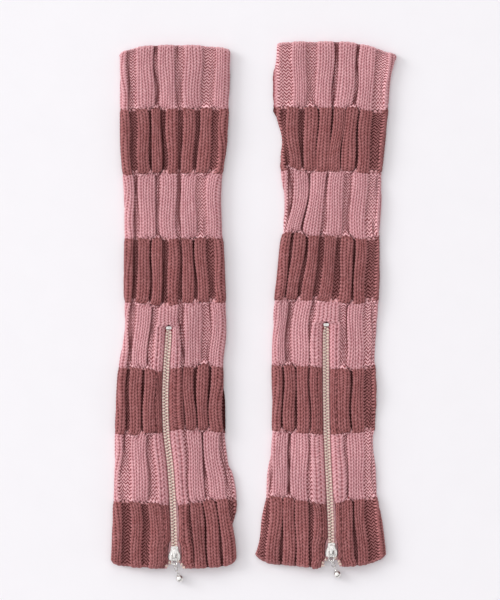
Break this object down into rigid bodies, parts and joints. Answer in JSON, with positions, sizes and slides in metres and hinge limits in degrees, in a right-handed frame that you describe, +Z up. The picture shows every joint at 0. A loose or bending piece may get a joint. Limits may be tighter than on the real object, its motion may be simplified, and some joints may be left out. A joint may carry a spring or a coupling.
{
  "type": "pair of arm warmers",
  "caption": "Long footless knitted tubes in wide rib-knit stripes, laid flat, each opened from its lower edge by a short metal zip with a ball pull.",
  "frame": {"origin": "on the surface that the pair lies on, under the middle of the pair's box", "axes": "+X to the right across the two tubes, +Y along them from the zipped hems to the plain top edges, +Z up out of the surface"},
  "size_m": [0.2182, 0.4164, 0.0103],
  "materials": {
    "pink_knit": "soft rib knit in dusty pink yarn",
    "mauve_knit": "soft rib knit in dark mauve yarn",
    "zip_tape": "woven tape",
    "zip_teeth": "pale champagne plating",
    "zip_hardware": "bright nickel plating"
  },
  "bodies": {
    "warmers": {"left_tube": "pink_knit", "right_tube": "pink_knit", "left_zip_tape_left": "zip_tape", "left_zip_tape_right": "zip_tape", "right_zip_tape_left": "zip_tape", "right_zip_tape_right": "zip_tape", "left_zip_teeth_left": "zip_teeth", "left_zip_teeth_right": "zip_teeth", "right_zip_teeth_left": "zip_teeth", "right_zip_teeth_right": "zip_teeth", "left_zip_stop": "zip_hardware", "right_zip_stop": "zip_hardware", "left_zip_slider": "zip_hardware", "right_zip_slider": "zip_hardware"},
    "left_pull": {"left_pull_ring": "zip_hardware", "left_pull_link_1": "zip_hardware", "left_pull_link_2": "zip_hardware", "left_pull_link_3": "zip_hardware", "left_pull_drop": "zip_hardware"},
    "right_pull": {"right_pull_ring": "zip_hardware", "right_pull_link_1": "zip_hardware", "right_pull_link_2": "zip_hardware", "right_pull_link_3": "zip_hardware", "right_pull_drop": "zip_hardware"}
  },
  "joints": [
    {"name": "left_pull_turn", "type": "hinge", "parent": "warmers", "child": "left_pull", "pos_m": [-0.06067, -0.1859, 0.00845], "axis": [-1, 0, 0], "range_deg": [0, 165]},
    {"name": "right_pull_turn", "type": "hinge", "parent": "warmers", "child": "right_pull", "pos_m": [0.06002, -0.1832, 0.00845], "axis": [-1, 0, 0], "range_deg": [0, 165]}
  ]
}
